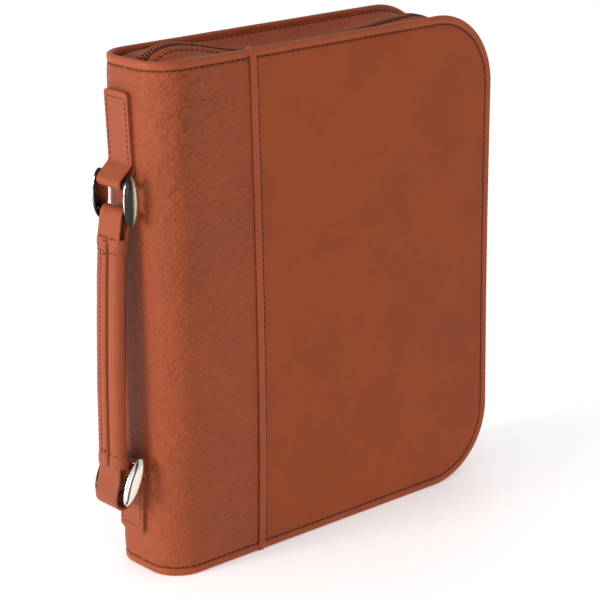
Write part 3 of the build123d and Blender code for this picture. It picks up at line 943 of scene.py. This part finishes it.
def build_link(name, finish):
    """Polished link: two domed ovals with a bevelled rim, joined by two bars."""
    centre = (low(name) + high(name)) / 2
    axis = unit((joint_place(f"{name}_hinge") - centre) * [1, 0, 1])
    side = np.array([axis[2], 0, -axis[0]])
    half_length, half_width, face_y, around = 12.9, 4.9, 12.0, 56
    profile = [(0.80, 0.0), (0.94, 0.12), (1.0, 0.55), (0.995, 0.95), (0.955, 1.35), (0.92, 1.5),
               (0.84, 2.0), (0.7, 2.5), (0.52, 2.85), (0.3, 3.1), (0.1, 3.2)]
    rows = len(profile)
    turn = np.arange(around) * 2 * math.pi / around
    c, s = np.cos(turn), np.sin(turn)
    parts = []
    for sign in (-1, 1):
        verts = []
        for scale, rise in profile:
            ring = (centre + np.outer(half_length * scale ** 0.8 * c * abs(c) ** -0.03, axis)
                    + np.outer(half_width * scale * s * abs(s) ** 0.05, side))
            ring[:, 1] = sign * (face_y + rise)
            verts += list(ring)
        faces = grid_faces(rows, around, wrap=True)
        for row, rise in ((0, 0.0), (rows - 1, 3.22)):
            tip = len(verts)
            verts.append(np.array([centre[0], sign * (face_y + rise), centre[2]]))
            faces += [(tip, row * around + k, row * around + (k + 1) % around)
                      for k in range(around)]
        parts.append((verts, faces))
    turn = np.arange(20) * math.pi / 10
    ring = BAR_RADIUS * np.stack([np.cos(turn), np.sin(turn)], 1)
    swell = 1 - 0.06 * np.sin(np.linspace(0, math.pi, 12))
    for way in (1, -1):
        at = centre + axis * way * BAR_SPACING / 2
        path = np.array([(at[0], y, at[2]) for y in np.linspace(-face_y - 0.8, face_y + 0.8, 12)])
        parts.append(tube(path, axis, side, ring[None] * swell[:, None, None]))
    obj = solid(f"{name}_metal", *merge(parts), finish)
    return mount(obj, name, "link_metal", name)


UPPER_BAR = joint_place("handle_hinge")
LINK_TILT = math.radians(25.0)      # of the lower link, which hangs away from the spine
LOWER_BAR = (joint_place("lower_link_hinge")
             - BAR_SPACING * np.array([math.sin(LINK_TILT), 0, math.cos(LINK_TILT)]))
ALONG = unit((LOWER_BAR - UPPER_BAR) * [1, 0, 1])
OUTWARD = np.array([ALONG[2], 0, -ALONG[0]])
DROP = np.linalg.norm((LOWER_BAR - UPPER_BAR) * [1, 0, 1])
GRIP_START, GRIP_END = 12.0, DROP - 13.5

# Section of the grip: a flap laid over the far half of the outer face, and a fat roll.
GRIP_OUTLINE = np.array([
    (0.25, 1.5), (0.15, 3.2), (0.6, 4.0), (1.4, 4.2), (3.0, 4.15), (4.6, 3.9), (6.4, 4.05),
    (7.8, 3.7), (8.7, 2.7), (8.9, 1.0), (8.7, -1.0), (7.9, -2.4), (6.0, -3.0), (2.0, -3.1),
    (-2.0, -3.1), (-6.0, -3.0), (-7.9, -2.4), (-8.8, -1.0), (-8.95, 0.8), (-8.4, 2.5),
    (-7.2, 3.6), (-5.4, 4.25), (-3.4, 4.2), (-1.6, 3.5), (-0.6, 2.5), (-0.25, 1.5)])


def grip_shift(s):
    """The grip stands off the line between the bars, most at its top, and arches."""
    share = np.clip((s - GRIP_START) / (GRIP_END - GRIP_START), 0, 1)
    return 2.0 - 1.6 * share + 0.9 * np.sin(math.pi * share)


def on_handle(s, out=0.0):
    """Point on the strap's line, in the x-z view; the strap joins the grip at both its ends."""
    shift = grip_shift(s) * smoothstep(0, GRIP_START, s) * smoothstep(DROP, GRIP_END, s)
    return (UPPER_BAR + ALONG * s + OUTWARD * (out + shift))[[0, 2]]


def grip_place(s, y, out):
    """Point in the grip's section at a distance down it."""
    return UPPER_BAR + ALONG * s + OUTWARD * (out + grip_shift(s)) + np.array([0, y, 0])


def on_grip(s, y, lift=0.0):
    """Point on the grip's outer face at a distance down it and across it."""
    face = GRIP_OUTLINE[GRIP_OUTLINE[:, 1] > 1.2]
    face = face[np.argsort(face[:, 0])]
    return grip_place(s, y, np.interp(y, face[:, 0], face[:, 1]) + lift)


def sewn_line(points, facing=None):
    """Stitches on the grip; with no facing given they run round its section."""
    points = np.array(points)
    if facing is None:
        facing = unit(np.cross(tangents(points), ALONG))
    return stitch_mesh(points, facing, pitch=2.5, length=2.05, radius=0.27, lift=0.05)


def build_strap():
    """Strap with a loop round the bar at each end; the lower loop hangs loose."""
    thick, loops = 1.5, []
    for bar, rim, way, radius in ((0.0, GRIP_START, 1, BAR_RADIUS + 0.2 + thick / 2),
                                  (DROP + 3.0, GRIP_END, -1, 5.2)):
        front = [on_handle(rim + way * 8, 1.6), on_handle(rim, 2.6),
                 on_handle(rim - way * 5.5, 2.7)]
        back = [on_handle(rim - way * 4, -2.4), on_handle(rim, -2.2),
                on_handle(rim + way * 8, -1.4)]
        arc = circle_join(front[-1], on_handle(bar), radius, back[0], clockwise=way > 0)
        path = soften(np.array(front + arc + back), 3)
        loops.append(ribbon(resample(path, 0.6), 17.5, thick))
    strap = solid("handle_loops", *merge(loops), handle_hide)
    return mount(strap, "handle", "handle_leather", "handle_strap")


def build_grip():
    """Padded grip cover, pinched in at both hems."""
    rim = np.array([0.6, 0.1, 0.0, 0.35])
    ss = np.concatenate([GRIP_START + rim, np.linspace(GRIP_START + 1, GRIP_END - 1, 90),
                         GRIP_END - rim[[3, 2, 1, 0]]])
    sections = []
    for k, s in enumerate(ss):
        near = min(s - GRIP_START, GRIP_END - s)
        swell = (1 + 0.05 * math.exp(-((near - 3) / 3.2) ** 2)
                 - 0.05 * math.exp(-((near - 7.2) / 0.7) ** 2) + wobble(0.02, s * 0.06, 0.3, 0.7))
        rank = min(k, len(ss) - 1 - k)
        swell *= (0.72, 0.9, 0.97, 1.0)[rank] if rank < 4 else 1.0
        sections.append(GRIP_OUTLINE * swell)
    path = np.array([grip_place(s, 0, 0) for s in ss])
    grip = solid("grip_leather", *tube(path, (0, 1.0, 0), OUTWARD, sections), handle_hide)
    return mount(grip, "handle", "handle_leather", "grip_cover", "grip_collars")


def build_grip_stitches():
    """One seam down the flap, a hem round each end, and three short bar tacks."""
    hems = (GRIP_START + 7.2, GRIP_END - 7.2)
    rows = [sewn_line([on_grip(s, 4.6, -0.05) for s in np.linspace(*hems, 80)], OUTWARD)]
    for s in hems:
        rows += [sewn_line([grip_place(s, y, out) for y, out in part * 0.965])
                 for part in (GRIP_OUTLINE[2:11], GRIP_OUTLINE[-11:-1])]
    for s in (GRIP_START + 1.6, hems[0] + 1.2, hems[1] - 1.2):
        line = np.array([on_grip(s + t, 1.3) for t in (-0.6, 0.0, 0.6)])
        rows.append(stitch_mesh(line, OUTWARD, pitch=2.0, length=1.2, radius=0.5, lift=0.05))
    return sew("grip_stitches", rows, "handle")


# ---------------------------------------------------------------- Bible

def build_bible_board(side):
    """Cover board: a plate with rounded corners and softened edges."""
    node = f"{side}_bible_board"
    a, b = low(node), high(node)
    width, depth, tall = b - a
    centre = (a + b) / 2
    outline = rounded(width, tall, 6.0, 8, 400.0)
    levels = ((-0.5, 0.6), (-0.47, 0.2), (-0.3, 0.0), (0.3, 0.0), (0.47, 0.2), (0.5, 0.6))
    verts = [(centre[0] + u * (1 - 2 * inset / width), centre[1] + level * depth,
              centre[2] + v * (1 - 2 * inset / tall)) for level, inset in levels for u, v in outline]
    count = len(outline)
    faces = grid_faces(len(levels), count, wrap=True)
    faces.append(tuple(range(count)))
    faces.append(tuple(range((len(levels) - 1) * count, len(levels) * count)))
    obj = solid(f"{side}_bible_cover", verts, faces, bible_hide)
    for polygon in obj.data.polygons:
        polygon.use_smooth = len(polygon.vertices) == 4
    return mount(obj, f"{side}_cover", "bible_leather", node)


def build_pages(node, body, seed):
    """Stack of leaves, each ending at its own depth; a fanning packet is cut back at the spine."""
    a, b = low(node), high(node)
    leaf, corner, cut_from = 0.28, 5.0, 0.42
    deepest_cut = 10.0 if "_pages_" in node else 0.0
    leaves = max(8, int((b[1] - a[1]) / leaf))
    rng = np.random.default_rng(seed)
    ys = np.linspace(a[1], b[1], leaves + 1)
    turn = np.linspace(0, math.pi / 2, 7)
    parts = []
    for k in range(leaves):
        share = (k + 0.5) / leaves
        away = share if node.startswith("front") else 1 - share
        cut = deepest_cut * max(0.0, away - cut_from) / (1 - cut_from)
        x0, x1 = a[0] + cut, b[0] - 0.45 * rng.random()
        z0, z1 = a[2] + 0.3 * rng.random(), b[2] - 0.3 * rng.random()
        bend_x = x1 - corner
        line = [(x0, z0)]
        line += [(bend_x + corner * math.sin(t), z0 + corner - corner * math.cos(t)) for t in turn]
        line += [(bend_x + corner * math.cos(t), z1 - corner + corner * math.sin(t)) for t in turn]
        line += [(x0, z1)]
        count = len(line)
        verts = [(x, y, z) for y in (ys[k] + 0.01, ys[k + 1] - 0.01) for x, z in line]
        faces = [tuple(range(count)), tuple(range(2 * count - 1, count - 1, -1))]
        faces += [(i, (i + 1) % count, count + (i + 1) % count, count + i)
                  for i in range(count)]
        parts.append((verts, faces))
    obj = solid(f"{node}_leaves", *merge(parts), paper, smooth=False)
    return mount(obj, body, "pages", node)


def build_bible():
    for side in ("front", "back"):
        build_bible_board(side)
        for letter in "abc":
            build_pages(f"{side}_pages_{letter}", f"{side}_packet_{letter}",
                        ord(letter) + (10 if side == "back" else 0))
        build_bible_joint(side)
    build_pages("page_block", "spine", 5)
    build_bible_spine()


def build_bible_spine():
    """Rounded leather spine with five raised bands."""
    a, b = low("bible_spine"), high("bible_spine")
    half, rise = b[1], b[0] - a[0]
    radius = (half ** 2 + rise ** 2) / (2 * rise)
    turn = math.asin(half / radius)
    zs = np.linspace(a[2], b[2], 90)
    angles = np.linspace(-turn, turn, 25)
    bands, half_band, band_rise = (0.14, 0.32, 0.5, 0.68, 0.86), 2.2 / 230, 0.9
    verts = []
    for z in zs:
        share = (z - a[2]) / (b[2] - a[2])
        band = sum(math.exp(-((share - c) / half_band) ** 2) for c in bands)
        for t in angles:
            r = radius + band_rise * band * math.cos(t * 1.4)
            verts.append((a[0] + radius - r * math.cos(t), r * math.sin(t), z))
    obj = piece("bible_spine_leather", verts, grid_faces(len(zs), len(angles)), bible_hide)
    obj.data.flip_normals()
    thicken(obj, 1.3)
    return mount(obj, "spine", "bible_leather", "bible_spine")


def build_bible_joint(side):
    """Flexible leather between the Bible's spine and one of its boards."""
    start = np.array([high("bible_spine")[0] - 1.2, -high("bible_spine")[1] + 0.5])
    end = np.array([low("front_bible_board")[0] + 1.5, -high("back_bible_board")[1] + 0.7])
    line = [start + (end - start) * t + np.array([0.0, 0.5 * math.sin(math.pi * t)])
            for t in np.linspace(0, 1, 14)]
    zs = np.linspace(low("bible_spine")[2] + 0.4, high("bible_spine")[2] - 0.4, 60)
    obj = sheet(f"{side}_bible_joint", [[(x, y, z) for x, y in line] for z in zs], bible_hide,
                side, 0.6)
    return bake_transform(obj)


# ---------------------------------------------------------------- build

for cover_side in ("front", "back"):
    for build_layer in (build_wrap, build_panel, build_binding, build_edge_stitches, build_strip,
                        build_gusset, build_zip_half, build_lining, build_pocket):
        build_layer(cover_side)

build_tab("upper", 254.0, 216.5)
build_tab("lower", 53.0, 21.0)
build_link("upper_link", upper_nickel)
build_link("lower_link", lower_nickel)
build_strap()
build_grip()
build_grip_stitches()
build_bible()

for node_name, finish in (("spine_stiffener", board_card), ("front_board", board_card),
                          ("back_board", board_card), ("grip_core", foam),
                          ("text_block_back", paper), ("headband", band_silk),
                          ("tailband", band_silk), ("ribbon_bookmark", ribbon_satin),
                          ("zip_slider", zip_metal), ("zip_pull", zip_metal)):
    node = frame["nodes"][node_name]
    node.data.materials.clear()
    node.data.materials.append(finish)


# ---------------------------------------------------------------- stage, light, camera

def build_stage():
    bpy.ops.mesh.primitive_plane_add(size=12, location=(0, 0, -0.0002))
    floor = bpy.context.object
    floor.name = "floor"
    material, tree, shader, coords = node_material("floor_white")
    tint = ramp(tree, add_noise(tree, coords, 3.0), ((0.3, grey(0.94)), (0.7, grey(0.97))))
    set_inputs(tree, shader, {"Base Color": tint, "Roughness": 0.6, "Emission Color": WHITE,
                              "Emission Strength": 0.3})
    floor.data.materials.append(material)
    world = bpy.data.worlds.new("studio")
    bpy.context.scene.world = world
    world.use_nodes = True
    set_inputs(world.node_tree, world.node_tree.nodes["Background"],
               {"Color": WHITE, "Strength": 0.72})
    bpy.context.scene.view_settings.view_transform = "Standard"


def add_light(name, place, size, power):
    """Round soft light aimed at the middle of the case."""
    data = bpy.data.lights.new(name, "AREA")
    data.shape = "DISK"
    data.size = size
    data.energy = power
    light = bpy.data.objects.new(name, data)
    light.location = place
    aim = Vector((0, 0, 0.12)) - Vector(place)
    light.rotation_euler = aim.to_track_quat("-Z", "Y").to_euler()
    bpy.context.scene.collection.objects.link(light)


def build_camera():
    """Camera as fitted to the case's outline in the photo."""
    yaw, pitch, roll = math.radians(41.15), math.radians(17.67), math.radians(-0.67)
    matrix = (Matrix.Rotation(-yaw, 4, "Z") @ Matrix.Rotation(math.pi / 2 - pitch, 4, "X")
              @ Matrix.Rotation(roll, 4, "Z"))
    place = matrix @ Vector((-4.385, 115.76, 1168.7))     # mm, in the camera's own directions
    place.x += SPINE_X + HALF_WIDTH
    matrix.translation = place * MM
    data = bpy.data.cameras.new("camera")
    data.lens = 125.4
    data.sensor_width = 36.0
    data.clip_end = 50
    camera = bpy.data.objects.new("camera", data)
    camera.matrix_world = matrix
    bpy.context.scene.collection.objects.link(camera)
    bpy.context.scene.camera = camera


build_stage()
add_light("key", (-1.7, 0.25, 0.48), 0.6, 20)
add_light("fill", (-1.1, -1.7, 0.3), 1.2, 4)
build_camera()
